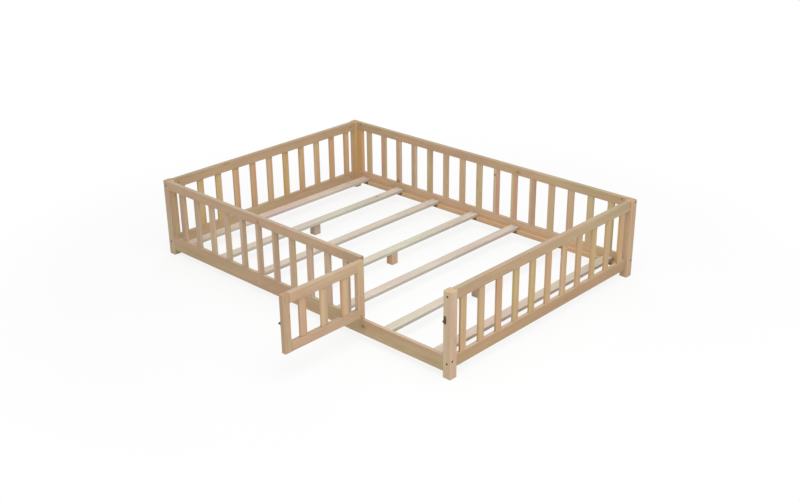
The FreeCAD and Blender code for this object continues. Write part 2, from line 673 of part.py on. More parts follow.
def gate_rail(label, base, height, mortise_level, along_normal):
    """A rail between the gate's stiles, two dowels in each end."""
    left = f"{GATE_LEFT} + gate_hinge_stile"
    body = rail(label, "gate", (left, "knuckle", base), GATE_INNER, "gate_thick", height)
    start = f"{gate_bar_first} - ({left})"
    row = (gate_bars, "gate_pitch", along_normal)
    mortises(body, mortise_level, start, "(gate_thick - bar_thick) / 2", *row)
    rises = [f"{height} / 2 + {sign}gate_dowel_pitch / 2" for sign in ("-", "")]
    hole = "dowel_size + 2 * fit_gap"
    half = "dowel_length / 2"
    own = [("gate_thick / 2", rise) for rise in rises]
    drill(body, "NearDowels", "YZ", "0", own, hole, half, True)
    drill(body, "FarDowels", "YZ", GATE_INNER, own, hole, half, False)
    theirs = [("gate_thick / 2", f"{base} - gate_base + {rise}") for rise in rises]
    drill(gate_hinge, f"Dowels{label}", "YZ", "gate_hinge_stile", theirs, hole, half, False)
    drill(gate_latch, f"Dowels{label}", "YZ", "0", theirs, hole, half, True)
    for joint in (left, LATCH_LEFT):
        for rise in rises:
            at = (f"{joint} - {half}", "knuckle + gate_thick / 2", f"{base} + {rise}")
            gate_dowel_spots.append(("gate", at, (1, 0, 0)))


gate_rail("gate_top_rail", GATE_TOP_BASE, "gate_top_height", "0", True)
gate_rail("gate_bottom_rail", "gate_base", "gate_bottom_height", "gate_bottom_height", False)
balusters(
    "gate_balusters", "gate", gate_bar_first, "knuckle + (gate_thick - bar_thick) / 2",
    "gate_base + gate_bottom_height", GATE_TOP_BASE, gate_bars, "gate_pitch",
)

# ---------------------------------------------------------------- hardware made of plain solids


def box(name, x, y, z, length, width, height):
    solid = doc.addObject("Part::Box", name)
    for path, text in (("Length", length), ("Width", width), ("Height", height)):
        bind(solid, path, text)
    for path, text in (("x", x), ("y", y), ("z", z)):
        bind(solid, f"Placement.Base.{path}", text)
    return solid


def cylinder(name, at, direction, size, length):
    solid = doc.addObject("Part::Cylinder", name)
    solid.Placement.Rotation = FreeCAD.Rotation(FreeCAD.Vector(0, 0, 1), FreeCAD.Vector(*direction))
    bind(solid, "Radius", f"({size}) / 2")
    bind(solid, "Height", length)
    for path, text in zip("xyz", at):
        bind(solid, f"Placement.Base.{path}", text)
    return solid


def cone(name, at, direction, start, end, length):
    """A cone between two diameters."""
    solid = doc.addObject("Part::Cone", name)
    solid.Placement.Rotation = FreeCAD.Rotation(FreeCAD.Vector(0, 0, 1), FreeCAD.Vector(*direction))
    bind(solid, "Radius1", f"({start}) / 2")
    bind(solid, "Radius2", f"({end}) / 2")
    bind(solid, "Height", length)
    for path, text in zip("xyz", at):
        bind(solid, f"Placement.Base.{path}", text)
    return solid


def screw_seat(name, at, direction, depth):
    """Tools that cut a countersunk hole for a small screw through a plate of that depth."""
    sink = "(small_head - small_shank) / 2"
    shank = "small_shank + 2 * fit_gap"
    seat = cone(f"{name}Seat", at, direction, "small_head + 2 * fit_gap", shank, sink)
    return [seat, cylinder(f"{name}Hole", at, direction, shank, depth)]


def fuse(name, solids):
    joined = doc.addObject("Part::MultiFuse", name)
    joined.Shapes = solids
    joined.Refine = True
    return joined


def subtract(name, base, tools):
    tool = tools[0] if len(tools) == 1 else fuse(f"{name}Tools", tools)
    result = doc.addObject("Part::Cut", name)
    result.Base = base
    result.Tool = tool
    result.Label = name
    return result


def group(label, master, spots):
    """Copies of one fastener as separate solids; its own +Z is turned to each direction."""
    solids = []
    for frame, (x, y, z), direction in spots:
        across, along = spot(frame, x, y)
        base = FreeCAD.Vector(value(across), value(along), value(z))
        aim = FreeCAD.Rotation(FreeCAD.Vector(0, 0, 1), FreeCAD.Vector(*direction))
        copy = master.Shape.copy()
        copy.Placement = FreeCAD.Placement(base, frame_rotation(frame).multiply(aim))
        solids.append(copy)
    feature = doc.addObject("Part::Feature", label)
    feature.Label = label
    feature.Shape = Part.makeCompound(solids)
    nodes.append(feature)


def rail_bolt():
    """Head at the origin, shank along +Z, hexagon socket in the head."""
    head = cylinder("BoltHead", ("0", "0", "0"), (0, 0, 1), "bolt_head", "bolt_head_height")
    shank = cylinder("BoltShank", ("0", "0", "bolt_head_height"), (0, 0, 1), "bolt_shank", BOLT_LENGTH)
    socket = doc.addObject("Part::Prism", "BoltSocket")
    socket.Polygon = 6
    bind(socket, "Circumradius", f"bolt_socket / 2 * {HEX_CORNER}")
    bind(socket, "Height", "bolt_socket_depth")
    return subtract("RailBoltMaster", fuse("BoltBlank", [head, shank]), [socket])


def barrel_nut():
    """Slotted end at the origin, axis along +Z, threaded hole across it along X."""
    blank = cylinder("NutBlank", ("0", "0", "0"), (0, 0, 1), "nut_size", "nut_length")
    reach = "nut_size + 2"
    size = "bolt_shank + 2 * fit_gap"
    thread = cylinder("NutThread", (f"-({reach}) / 2", "0", "nut_length / 2"), (1, 0, 0), size, reach)
    slot = box("NutSlot", f"-({reach}) / 2", "-nut_slot / 2", "0", reach, "nut_slot", "nut_slot")
    return subtract("BarrelNutMaster", blank, [thread, slot])


def wood_screw(name, size, length):
    """Countersunk head at the origin, point along +Z, cross recess."""
    sink = f"({size}_head - {size}_shank) / 2"
    point = f"{size}_shank"
    head = cone(f"{name}Head", ("0", "0", "0"), (0, 0, 1), f"{size}_head", f"{size}_shank", sink)
    straight = f"{length} - {point} - {sink}"
    shank = cylinder(f"{name}Shank", ("0", "0", sink), (0, 0, 1), f"{size}_shank", straight)
    at = ("0", "0", f"{length} - {point}")
    tip = cone(f"{name}Tip", at, (0, 0, 1), f"{size}_shank", f"{2 * BLUNT}", point)
    wide, thin = f"({size}_head * 0.5)", f"({size}_head * 0.12)"
    across = box(f"{name}CrossX", f"-{wide} / 2", f"-{thin} / 2", "0", wide, thin, f"{size}_head * 0.2")
    along = box(f"{name}CrossY", f"-{thin} / 2", f"-{wide} / 2", "0", thin, wide, f"{size}_head * 0.2")
    return subtract(f"{name}Master", fuse(f"{name}Blank", [head, shank, tip]), [across, along])


bolt = rail_bolt()
nut = barrel_nut()
dowel = cylinder("DowelMaster", ("0", "0", "0"), (0, 0, 1), "dowel_size", "dowel_length")
stile_dowel = cylinder("StileDowelMaster", ("0", "0", "0"), (0, 0, 1), "dowel_size", "stile_dowel_length")
slat_screw = wood_screw("SlatScrew", "screw", "slat_screw_length")
leg_screw = wood_screw("LegScrew", "screw", "leg_screw_length")
ledge_screw = wood_screw("LedgeScrew", "screw", "ledge_screw_length")
small_screw = wood_screw("SmallScrew", "small", "small_length")

# ---------------------------------------------------------------- hinges

PART_HEIGHT = "(leaf_height / 3)"
LEAF_FACE = "(knuckle - leaf_thick)"
HINGES = (("(gate_base + hinge_rise)", "lower_hinge"), (f"({GATE_TOP} - hinge_drop)", "upper_hinge"))


def leaf(name, frame, level, origin, toward, own):
    """One leaf, wood side on local y = knuckle; toward is the leaf's side of the pin's axis."""
    left = "leaf_start" if toward > 0 else "-leaf_width"
    bridge_left = "0" if toward > 0 else "-leaf_start"
    sizes = ("leaf_width - leaf_start", "leaf_thick", "leaf_height")
    solids = [box(f"{name}Plate", left, LEAF_FACE, "0", *sizes)]
    for place_in_row in own:
        low = f"{place_in_row} * {PART_HEIGHT} + knuckle_gap / 2"
        high = f"{PART_HEIGHT} - knuckle_gap"
        solids.append(cylinder(f"{name}Knuckle", ("0", "0", low), (0, 0, 1), "2 * knuckle", high))
        solids.append(box(f"{name}Bridge", bridge_left, LEAF_FACE, low, "leaf_start", "leaf_thick", high))
    size = "pin_size + 2 * fit_gap"
    bore = cylinder(f"{name}Bore", ("0", "0", "-1"), (0, 0, 1), size, "leaf_height + 2")
    tools = [bore]
    sign = "" if toward > 0 else "-"
    for rise in ("-hinge_screw_rise", "hinge_screw_rise"):
        at = (f"{sign}hinge_screw_reach", LEAF_FACE, f"leaf_height / 2 + {rise}")
        tools += screw_seat(name, at, (0, 1, 0), "leaf_thick")
    result = subtract(name, fuse(f"{name}Blank", solids), tools)
    nodes.append(result)
    x, y = origin
    place(result, frame, x, y, f"{level} - leaf_height / 2")


fixed_screw_spots = []
gate_screw_spots = []
PIN_LOCAL = (f"{FENCE_LENGTH} + gate_gap / 2", "long_top_setback - knuckle")
for level, name in HINGES:
    leaf(f"{name}_fixed_leaf", "front", level, PIN_LOCAL, -1, (0, 2))
    leaf(f"{name}_gate_leaf", "gate", level, ("0", "0"), 1, (1,))
    low = f"{level} - leaf_height / 2"
    stem = cylinder(f"{name}Stem", ("0", "0", "0"), (0, 0, 1), "pin_size", "leaf_height")
    foot = cylinder(f"{name}Foot", ("0", "0", "-pin_cap_height"), (0, 0, 1), "pin_cap", "pin_cap_height")
    cap = cylinder(f"{name}Cap", ("0", "0", "leaf_height"), (0, 0, 1), "pin_cap", "pin_cap_height")
    pin = fuse(f"{name}_pin", [stem, foot, cap])
    pin.Label = f"{name}_pin"
    place(pin, "front", *PIN_LOCAL, low)
    nodes.append(pin)
    for rise in ("-hinge_screw_rise", "hinge_screw_rise"):
        across = f"{PIN_LOCAL[0]} - hinge_screw_reach"
        at = (across, "long_top_setback - leaf_thick", f"{level} + {rise}")
        fixed_screw_spots.append(("front", at, (0, 1, 0)))
        gate_screw_spots.append(("gate", ("hinge_screw_reach", LEAF_FACE, f"{level} + {rise}"), (0, 1, 0)))


def face_pilots(body, name, centres, plate):
    """Pilot holes for small screws from an upright's outer face, behind a plate."""
    drill(body, name, "XZ", "0", centres, "small_shank + 2 * fit_gap", f"small_length - {plate}", False)


SCREW_RISES = ("-hinge_screw_rise", "hinge_screw_rise")
hinge_rises = [f"{level} + {rise}" for level, _ in HINGES for rise in SCREW_RISES]
across = "hinge_stile_width + gate_gap / 2 - hinge_screw_reach"
pilots = [(across, f"{rise} - {LOW_TOP}") for rise in hinge_rises]
face_pilots(hinge_stile, "HingePilots", pilots, "leaf_thick")
across = f"hinge_screw_reach - {GATE_LEFT}"
pilots = [(across, f"{rise} - gate_base") for rise in hinge_rises]
face_pilots(gate_hinge, "HingePilots", pilots, "leaf_thick")

# ---------------------------------------------------------------- sliding bolt and keeper

LATCH_LEVEL = f"({GATE_TOP} - latch_drop)"
GUIDE_SPACE = "(rod_travel + knob_size + 2 * rod_spare)"
HOUSING_RIGHT = f"({GATE_LEFT} + {GATE_LENGTH} - housing_edge)"
HOUSING_LENGTH = f"({GUIDE_SPACE} + 2 * guide_length)"
HOUSING_LEFT = f"({HOUSING_RIGHT} - {HOUSING_LENGTH})"
ROD_LINE = "(knuckle - latch_stand)"
ROD_START = f"({HOUSING_LEFT} + guide_length - rod_tail - rod_travel)"
ROD_END = f"({GATE_LEFT} + {GATE_LENGTH} + rod_poke)"


def strap(name, x, line, level, length, face):
    """A rounded strap over the bolt, from the bolt's line back to a plate's face."""
    arch = cylinder(f"{name}Arch", (x, line, level), (1, 0, 0), "guide_size", length)
    low = f"{level} - guide_size / 2"
    back = box(f"{name}Back", x, line, low, length, f"({face}) - ({line})", "guide_size")
    return [arch, back]


def bolt_housing():
    low = f"{LATCH_LEVEL} - plate_height / 2"
    face = "knuckle - plate_thick"
    solids = [box("HousingPlate", HOUSING_LEFT, face, low, HOUSING_LENGTH, "plate_thick", "plate_height")]
    for left in (HOUSING_LEFT, f"{HOUSING_RIGHT} - guide_length"):
        solids += strap("Guide", left, ROD_LINE, LATCH_LEVEL, "guide_length", face)
    size = "rod_size + 2 * fit_gap"
    start = (f"{HOUSING_LEFT} - 1", ROD_LINE, LATCH_LEVEL)
    tools = [cylinder("HousingBore", start, (1, 0, 0), size, f"{HOUSING_LENGTH} + 2")]
    spots = []
    for x in (f"{HOUSING_LEFT} + plate_screw_inset", f"{HOUSING_RIGHT} - plate_screw_inset"):
        for sign in ("-", "+"):
            at = (x, face, f"{LATCH_LEVEL} {sign} plate_screw_rise")
            tools += screw_seat("Housing", at, (0, 1, 0), "plate_thick")
            spots.append(("gate", at, (0, 1, 0)))
    housing = subtract("bolt_housing", fuse("HousingBlank", solids), tools)
    place(housing, "gate", "0", "0", "0")
    nodes.append(housing)
    pilots = [(f"{x} - {LATCH_LEFT}", f"{z} - gate_base") for _, (x, _, z), _ in spots]
    face_pilots(gate_latch, "HousingPilots", pilots, "plate_thick")
    return spots


def bolt_rod():
    """The sliding rod, drawn back, with its knob between the guides."""
    start = (ROD_START, ROD_LINE, LATCH_LEVEL)
    length = f"({ROD_END} - {ROD_START})"
    thin = "rod_size - 2 * rod_tip"
    straight = (f"{ROD_START} + rod_tip", ROD_LINE, LATCH_LEVEL)
    tip = (f"{ROD_END} - rod_tip", ROD_LINE, LATCH_LEVEL)
    knob_at = (f"{HOUSING_LEFT} + guide_length + rod_spare + knob_size / 2", ROD_LINE, LATCH_LEVEL)
    ball = doc.addObject("Part::Sphere", "KnobEnd")
    bind(ball, "Radius", "knob_size / 2")
    for path, text in zip("xyz", (knob_at[0], f"{ROD_LINE} - knob_height", LATCH_LEVEL)):
        bind(ball, f"Placement.Base.{path}", text)
    solids = [
        cone("RodTail", start, (1, 0, 0), thin, "rod_size", "rod_tip"),
        cylinder("RodStraight", straight, (1, 0, 0), "rod_size", f"{length} - 2 * rod_tip"),
        cone("RodTip", tip, (1, 0, 0), "rod_size", thin, "rod_tip"),
        cylinder("KnobStem", knob_at, (0, -1, 0), "knob_size", "knob_height"),
        ball,
    ]
    rod = fuse("bolt_rod", solids)
    rod.Label = "bolt_rod"
    place(rod, "gate", "0", "0", "0")
    nodes.append(rod)


def keeper():
    """Plate and loop on the post that the bolt is shot into."""
    centre = "(bed_length - keeper_inset)"
    middle = f"({LATCH_LEVEL} + keeper_raise)"
    low = f"{middle} - keeper_height / 2"
    left = f"{centre} - keeper_width / 2"
    line = "(long_top_setback - latch_stand)"
    start = f"{centre} - keeper_loop / 2"
    solids = [box("KeeperPlate", left, "-plate_thick", low, "keeper_width", "plate_thick", "keeper_height")]
    solids += strap("Keeper", start, line, LATCH_LEVEL, "keeper_loop", "-plate_thick")
    before = (f"{start} - 1", line, LATCH_LEVEL)
    tools = [cylinder("KeeperEye", before, (1, 0, 0), "keeper_eye", "keeper_loop + 2")]
    spots = []
    for sign in ("-", "+"):
        at = (centre, "-plate_thick", f"{middle} {sign} keeper_screw_rise")
        tools += screw_seat("Keeper", at, (0, 1, 0), "plate_thick")
        spots.append(("front", at, (0, 1, 0)))
    body = subtract("keeper", fuse("KeeperBlank", solids), tools)
    place(body, "front", "0", "0", "0")
    nodes.append(body)
    pilots = [("keeper_inset", z) for _, (_, _, z), _ in spots]
    depth = "small_length - plate_thick"
    drill(gate_post, "KeeperPilots", "YZ", "0", pilots, "small_shank + 2 * fit_gap", depth, True)
    return spots


housing_spots = bolt_housing()
bolt_rod()
keeper_spots = keeper()

# ---------------------------------------------------------------- fasteners

doc.recompute()
group("post_bolts", bolt, bolt_spots)
group("barrel_nuts", nut, nut_spots)
group("rail_dowels", dowel, dowel_spots)
group("stile_dowels", stile_dowel, stile_dowel_spots)
group("slat_screws", slat_screw, slat_screw_spots)
group("leg_screws", leg_screw, leg_screw_spots)
group("ledge_screws", ledge_screw, ledge_screw_spots)
group("fence_hinge_screws", small_screw, fixed_screw_spots)
group("gate_hinge_screws", small_screw, gate_screw_spots)
group("bolt_housing_screws", small_screw, housing_spots)
group("keeper_screws", small_screw, keeper_spots)
group("gate_dowels", dowel, gate_dowel_spots)

# ---------------------------------------------------------------- checks and export

for thing in doc.Objects:
    if {"Invalid", "Error"} & set(thing.State):
        raise RuntimeError(f"{thing.Label} failed: {thing.getStatusString()}")
for feature in cuts:
    if feature.Shape.Volume > feature.BaseFeature.Shape.Volume - 1:
        raise RuntimeError(f"{feature.Label} cuts nothing")
for node in nodes:
    if node.Shape.isNull() or not node.Shape.isValid():
        raise RuntimeError(f"{node.Label} has no valid shape")

os.makedirs("parts", exist_ok=True)
for node in nodes:
    node.Shape.exportStep(f"parts/{node.Label}.step")
print(len(nodes), "nodes,", sum(len(node.Shape.Solids) for node in nodes), "solids")
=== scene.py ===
import json
import math

import bpy
from mathutils import Matrix, Vector


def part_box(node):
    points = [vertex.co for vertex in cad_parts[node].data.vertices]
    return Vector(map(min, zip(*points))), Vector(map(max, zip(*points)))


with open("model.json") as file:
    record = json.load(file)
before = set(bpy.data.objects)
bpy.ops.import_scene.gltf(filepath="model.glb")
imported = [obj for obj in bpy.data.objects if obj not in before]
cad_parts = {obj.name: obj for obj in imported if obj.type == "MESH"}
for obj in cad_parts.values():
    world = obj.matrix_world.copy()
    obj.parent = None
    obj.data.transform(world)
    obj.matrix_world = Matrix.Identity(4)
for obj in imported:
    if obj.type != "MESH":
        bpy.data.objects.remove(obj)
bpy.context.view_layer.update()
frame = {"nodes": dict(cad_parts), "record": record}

# Looks of the low pine floor bed. Every visible piece is a CAD node, and gets its finish here:
# pine that is cut from a trunk of its own for each board, with growth rings, fibre, streaks,
# knots and end grain, bright zinc for the joinery, dark satin paint for the sliding bolt, and
# reddish brown heads for the posts' bolts. Metres, in the frame of the imported model.

NODES = frame["nodes"]
FINISH = {part["node"]: part["material_slot"] for part in frame["record"]["subparts"]}

# ---------------------------------------------------------------- camera and studio

CAMERA_PLACE = Vector((3.65501, -3.82990, 2.44294))
CAMERA_AZIMUTH = math.radians(43.34)  # from straight in front, towards the foot end
CAMERA_HEIGHT = math.radians(24.06)
CAMERA_ROLL = math.radians(-0.54)
CAMERA_REACH = 200
SENSOR = 36.0
FOCAL_LENGTH = 49.66

LAMPS = {  # place, target, size and power
    "key": ((1.7, -0.95, 3.9), (0.1, 0, 0.2), 3.5, 130),
    "fill": ((-2.6, 2.4, 2.6), (-0.1, 0, 0.2), 2.5, 36),
}
WORLD_LIGHT = 0.56
WHITE = (1, 1, 1, 1)
FLOOR_SIZE = 60.0
FLOOR_GREY = 0.82
FLOOR_SHADOW = 0.17  # share of the floor's look near the bed that the shadows take part in
SHADOW_REACH = (1.5, 2.4)  # from the middle: the shadows' share starts to fade, and is gone


def look_through_camera():
    """The camera at the photo's place, turned by azimuth, height and roll."""
    flat = Vector((math.cos(CAMERA_AZIMUTH), math.sin(CAMERA_AZIMUTH), 0))
    ahead = Vector((-math.sin(CAMERA_AZIMUTH), math.cos(CAMERA_AZIMUTH), 0)) * math.cos(CAMERA_HEIGHT)
    ahead.z = -math.sin(CAMERA_HEIGHT)
    above = flat.cross(ahead)
    right = flat * math.cos(CAMERA_ROLL) + above * math.sin(CAMERA_ROLL)
    up = above * math.cos(CAMERA_ROLL) - flat * math.sin(CAMERA_ROLL)
    data = bpy.data.cameras.new("camera")
    data.sensor_width = SENSOR
    data.lens = FOCAL_LENGTH
    data.clip_end = CAMERA_REACH
    camera = bpy.data.objects.new("camera", data)
    turn = Matrix((right, up, -ahead)).transposed().to_4x4()
    camera.matrix_world = Matrix.Translation(CAMERA_PLACE) @ turn
    bpy.context.scene.collection.objects.link(camera)
    bpy.context.scene.camera = camera


def soft_lamp(name, place, target, size, power):
    data = bpy.data.lights.new(name, "AREA")
    data.shape = "SQUARE"
    data.size = size
    data.energy = power
    lamp = bpy.data.objects.new(name, data)
    lamp.location = place
    lamp.rotation_euler = (Vector(target) - Vector(place)).to_track_quat("-Z", "Y").to_euler()
    bpy.context.scene.collection.objects.link(lamp)


class Tree:
    """Short calls to make and join shader nodes. A value is a number, a colour or a socket."""

    def __init__(self, tree):
        self.tree = tree

    def node(self, kind, **settings):
        made = self.tree.nodes.new(kind)
        for name, setting in settings.items():
            setattr(made, name, setting)
        return made

    def put(self, socket, value):
        if isinstance(value, bpy.types.NodeSocket):
            self.tree.links.new(value, socket)
        elif value is not None:
            socket.default_value = value

    def maths(self, operation, *values):
        made = self.node("ShaderNodeMath", operation=operation)
        for socket, value in zip(made.inputs, values):
            self.put(socket, value)
        return made.outputs[0]

    def scaled(self, value, factor, plus):
        """A value times a factor, plus a number."""
        return self.maths("MULTIPLY_ADD", value, factor, plus)

    def vectors(self, operation, *values):
        made = self.node("ShaderNodeVectorMath", operation=operation)
        for socket, value in zip(made.inputs, values):
            self.put(socket, value)
        return made.outputs["Value" if operation == "LENGTH" else "Vector"]

    def parts(self, vector):
        made = self.node("ShaderNodeSeparateXYZ")
        self.put(made.inputs[0], vector)
        return made.outputs[:]

    def join(self, x, y, z):
        made = self.node("ShaderNodeCombineXYZ")
        for socket, value in zip(made.inputs, (x, y, z)):
            self.put(socket, value)
        return made.outputs[0]

    def smooth(self, value, low, high, start=0.0, end=1.0):
        made = self.node("ShaderNodeMapRange", interpolation_type="SMOOTHSTEP")
        for name, given in (
            ("Value", value), ("From Min", low), ("From Max", high), ("To Min", start), ("To Max", end),
        ):
            self.put(made.inputs[name], given)
        return made.outputs[0]

    def mix(self, share, first, second, blend="MIX"):
        made = self.node("ShaderNodeMix", data_type="RGBA", blend_type=blend)
        for socket, value in zip((made.inputs[0], made.inputs[6], made.inputs[7]), (share, first, second)):
            self.put(socket, value)
        return made.outputs[2]

    def tinted(self, colour, tint):
        return self.mix(1, colour, tint, "MULTIPLY")

    def dimmed(self, colour, light):
        return self.tinted(colour, self.join(light, light, light))

    def noise(self, vector, detail, roughness=0.5, scale=1.0, output="Fac"):
        made = self.node("ShaderNodeTexNoise")
        for name, value in (
            ("Vector", vector), ("Scale", scale), ("Detail", detail), ("Roughness", roughness),
        ):
            self.put(made.inputs[name], value)
        return made.outputs[output]

    def chance(self, number):
        """A random colour that stays the same for the same number."""
        made = self.node("ShaderNodeTexWhiteNoise", noise_dimensions="1D")
        self.put(made.inputs["W"], number)
        return made.outputs["Color"]

    def steps(self, value, colours):
        """One colour for each equal step of a value from 0 to 1."""
        made = self.node("ShaderNodeValToRGB")
        self.put(made.inputs[0], value)
        made.color_ramp.interpolation = "CONSTANT"
        stops = made.color_ramp.elements
        while len(stops) > 1:
            stops.remove(stops[-1])
        stops[0].position = 0
        stops[0].color = (*colours[0], 1)
        for number, colour in enumerate(colours[1:], 1):
            stops.new(number / len(colours)).color = (*colour, 1)
        return made.outputs["Color"]

    def bump(self, height, strength, depth):
        made = self.node("ShaderNodeBump")
        for name, value in (("Strength", strength), ("Distance", depth), ("Height", height)):
            self.put(made.inputs[name], value)
        return made.outputs[0]

    def seen(self):
        """1 where a ray shows the surface: seen, mirrored or looked at through something."""
        path = self.node("ShaderNodeLightPath").outputs
        shown = self.maths("MAXIMUM", path["Is Camera Ray"], path["Is Glossy Ray"])
        return self.maths("MAXIMUM", shown, path["Is Transmission Ray"])


def white_world():
    """Soft grey light for the object, plain white where it is seen or mirrored."""
    world = bpy.data.worlds.new("studio")
    bpy.context.scene.world = world
    world.use_nodes = True
    world.node_tree.nodes.clear()
    t = Tree(world.node_tree)
    background = t.node("ShaderNodeBackground")
    background.inputs["Color"].default_value = WHITE
    t.put(background.inputs["Strength"], t.scaled(t.seen(), 1 - WORLD_LIGHT, WORLD_LIGHT))
    output = t.node("ShaderNodeOutputWorld")
    t.put(output.inputs["Surface"], background.outputs[0])


def pale_floor():
    """A floor that looks white but keeps a faint share of the shadows."""
    half = FLOOR_SIZE / 2
    corners = [(-half, -half, 0), (half, -half, 0), (half, half, 0), (-half, half, 0)]
    mesh = bpy.data.meshes.new("floor")
    mesh.from_pydata(corners, [], [(0, 1, 2, 3)])
    floor = bpy.data.objects.new("floor", mesh)
    bpy.context.scene.collection.objects.link(floor)
    material = bpy.data.materials.new("floor")
    material.use_nodes = True
    material.node_tree.nodes.clear()
    t = Tree(material.node_tree)
    diffuse = t.node("ShaderNodeBsdfDiffuse")
    diffuse.inputs["Color"].default_value = (FLOOR_GREY, FLOOR_GREY, FLOOR_GREY, 1)
    glow = t.node("ShaderNodeEmission")
    away = t.vectors("LENGTH", t.node("ShaderNodeTexCoord").outputs["Object"])
    faded = t.smooth(away, *SHADOW_REACH, 1 - FLOOR_SHADOW, 1.0)
    mixer = t.node("ShaderNodeMixShader")
    t.put(mixer.inputs[0], t.maths("MULTIPLY", t.seen(), faded))
    t.put(mixer.inputs[1], diffuse.outputs[0])
    t.put(mixer.inputs[2], glow.outputs[0])
    output = t.node("ShaderNodeOutputMaterial")
    t.put(output.inputs["Surface"], mixer.outputs[0])
    mesh.materials.append(material)


# ---------------------------------------------------------------- pine

# Where two numbers change a value, they are a factor and what is added. Where they are levels,
# the effect starts at the first and is full at the second.
SEED_SHIFT = (3.17, 7.31, 5.73)  # how far one board's pattern is from the next one's
FIBRE = (11, 760, 3, 0.6)  # waves in a metre along the grain and across it, detail, roughness
STREAK = (1.7, 42, 3, 0.55)
PATCH = (3.2, 11, 2, 0.5)
DRIFT = (2.1, 14, 1, 0.5)
FLECK = (34, 900, 1, 0.5)
RUB = (60, 60, 2, 0.5)
WANDER = (2.4, 9.0, 1.5, 0.5)
PORES = (2, 0.6, 2400)  # detail, roughness, waves in a metre

KNOT_COLOUR = (0.25, 0.115, 0.05, 1)
KNOT_SPACING = (0.26, 0.085)  # along a board and across it
KNOT_SCATTER = 0.9
KNOT_SIZE = (0.004, 0.0025)  # radius: how much it differs, and the smallest
KNOT_LENGTH = 0.8  # width of a knot for its length along the grain
OWN_KNOT_LENGTH = 0.75
TINY = 1e-6  # radius of a knot that isn't there
NO_KNOT = 1000  # a distance in radii that is out of every knot's reach
KNOT_CORE = (1.25, 0.8)  # levels, in radii
KNOT_HALO = (3.6, 0.9)
KNOT_SWERVE = (8, 0)
SWERVE = 0.011  # how far a knot pushes the growth rings aside
KNOT_RINGS = 14
KNOT_RING_LIGHT = (0.2, 0.3)
KNOT_COVER = 0.85

RING_WIDTH = (0.0026, 0.00156)  # of a year's growth: how much it differs, and the least
PITH_DEPTH = (0.06, 0.016)  # from the board's middle to the pith of its trunk
PITH_SIDE = (0.07, -0.035)
LEAN_SIDE = (0.02, -0.01)  # slope of the pith along the board
LEAN_DEPTH = (0.036, -0.018)
SWAY = 0.022  # how far the rings sway along the board
RING_DARKENS = (0.25, 0.9)  # levels, within a year
RING_ENDS = (1.0, 0.93)
RING_VIGOUR = (0.6, 0.4)

LATE_SHARE = 0.55  # what makes the colour go from early wood to late wood
STREAK_SHARE = (0.85, -0.28)
FIBRE_SHARE = (0.30, -0.15)
HALO_SHARE = 0.35
DRIFT_LEVELS = (0.26, 0.74)
REDDER = (1.05, 0.945, 0.93, 1)
GREENER = (0.965, 1.015, 0.93, 1)
PATCH_LIGHT = (0.34, 0.83)
FLECK_LEVELS = (0.66, 0.74)
FLECK_DARK = 0.10

END_LIGHT = (0.25, 0.66)  # end grain
END_GREEN = 0.95
END_BLUE = 0.86
EDGE_REACH = 0.0035  # how far in a board's edges are paler from sanding
RUB_LEVELS = (0.3, 0.6)
LEAST_RUB = 0.25
WORN = (1.28, 1.28, 1.30, 1)
WORN_SHARE = 0.14

FIBRE_ROUGHNESS = (0.22, 0.54)
LATE_ROUGHNESS = -0.07
END_ROUGHNESS = 0.2
FIBRE_RELIEF = 0.7
LATE_RELIEF = 0.5
KNOT_RELIEF = 0.8
PORE_RELIEF = 0.8
RELIEF_STRENGTH = 0.35
RELIEF_DEPTH = 0.0004
PINE_SPECULAR = 0.25

PINE_INPUTS = (
    ("Place", "Vector"), ("Half", "Vector"), ("End", "Float"), ("Seed", "Float"), ("Early", "Color"),
    ("Late", "Color"), ("Tint", "Color"), ("Knots", "Float"), ("Painted Light", "Float"),
    ("Painted Light Tint", "Color"), ("Own Knot", "Vector"), ("Own Knot Size", "Float"),
)
PINE_OUTPUTS = (("Color", "Color"), ("Roughness", "Float"), ("Normal", "Vector"))


def knot_ratio(t, given, shift):
    """Distance to the nearest knot, in its radii. Knots go right through the board, and stand in
    some cells of a plane pattern. One more stands at a chosen place."""
    along, across = KNOT_SPACING
    cells = t.node("ShaderNodeTexVoronoi", voronoi_dimensions="2D")
    spot = t.vectors("ADD", t.vectors("MULTIPLY", given["Place"], (1 / along, 1 / across, 0)), shift)
    t.put(cells.inputs["Vector"], spot)
    cells.inputs["Scale"].default_value = 1
    cells.inputs["Randomness"].default_value = KNOT_SCATTER
    offset = t.vectors("SUBTRACT", spot, cells.outputs["Position"])
    reach = t.vectors("LENGTH", t.vectors("MULTIPLY", offset, (along * KNOT_LENGTH, across, 0)))
    luck, bulk, _ = t.parts(cells.outputs["Color"])
    there = t.maths("LESS_THAN", luck, given["Knots"])
    far = t.maths("MULTIPLY", t.maths("SUBTRACT", 1, there), NO_KNOT)
    ratio = t.maths("ADD", t.maths("DIVIDE", reach, t.scaled(bulk, *KNOT_SIZE)), far)
    own = t.vectors("SUBTRACT", given["Place"], given["Own Knot"])
    own_reach = t.vectors("LENGTH", t.vectors("MULTIPLY", own, (OWN_KNOT_LENGTH, 1, 0)))
    own_size = t.maths("MAXIMUM", given["Own Knot Size"], TINY)
    return t.maths("MINIMUM", ratio, t.maths("DIVIDE", own_reach, own_size))


